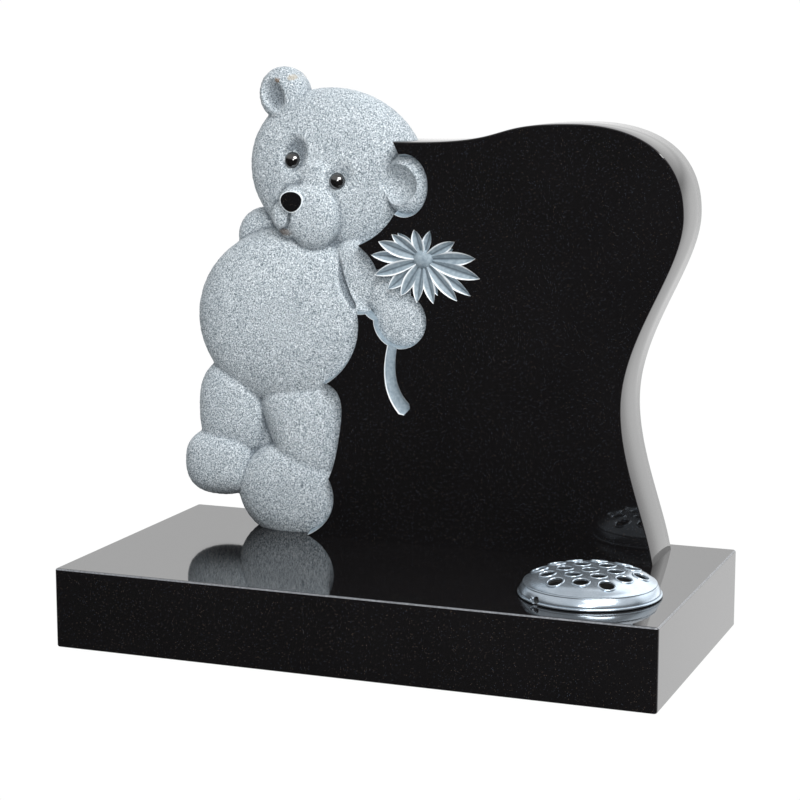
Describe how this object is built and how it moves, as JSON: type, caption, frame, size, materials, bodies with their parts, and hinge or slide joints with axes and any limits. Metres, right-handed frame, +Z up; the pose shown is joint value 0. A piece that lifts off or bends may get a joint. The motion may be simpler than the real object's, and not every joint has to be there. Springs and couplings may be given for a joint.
{
  "type": "headstone",
  "caption": "Polished black granite headstone with a bear and a daisy carved into one end, on a slab base with a lidded flower pot sunk in it.",
  "frame": {"origin": "middle of the base slab's underside", "axes": "+X along the base to the right as one faces the stone, +Y to the back, +Z up"},
  "size_m": [0.61, 0.32, 0.566],
  "materials": {
    "base_granite": "mirror polished black granite",
    "carved_granite": "polished black granite faces, pale bush-hammered carving",
    "pot_metal": "plain spun aluminium",
    "lid_metal": "bright spun aluminium"
  },
  "bodies": {
    "root": {"base_slab": "base_granite", "headstone": "carved_granite", "flower_pot": "pot_metal", "pot_lid": "lid_metal"}
  },
  "joints": []
}
